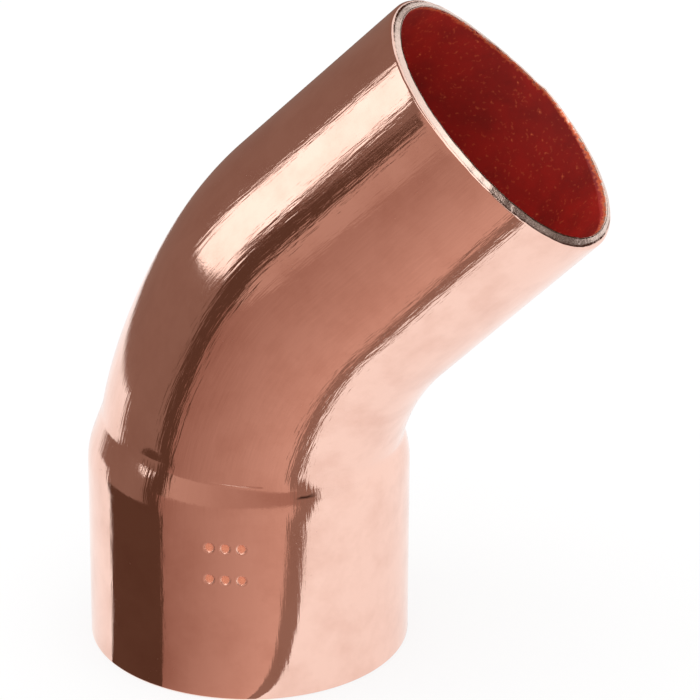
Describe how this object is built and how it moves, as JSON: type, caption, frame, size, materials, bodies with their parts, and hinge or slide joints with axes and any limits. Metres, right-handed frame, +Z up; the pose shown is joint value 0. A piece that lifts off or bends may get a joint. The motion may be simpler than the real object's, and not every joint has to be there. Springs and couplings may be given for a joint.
{
  "type": "pipe elbow",
  "caption": "Copper pipe elbow formed from one tube: a widened socket at one end, a smooth bend of forty-five degrees and a plain end of pipe size.",
  "frame": {"origin": "centre of the socket's mouth", "axes": "+Z up the socket's axis from its mouth towards the bend, +X towards the side that the plain end leans to, with both axes in the XZ plane"},
  "size_m": [0.0483, 0.0302, 0.0632],
  "materials": {
    "copper": "bare copper, bright on the outside and darkened to a deep red inside"
  },
  "bodies": {
    "root": {"elbow": "copper"}
  },
  "joints": []
}
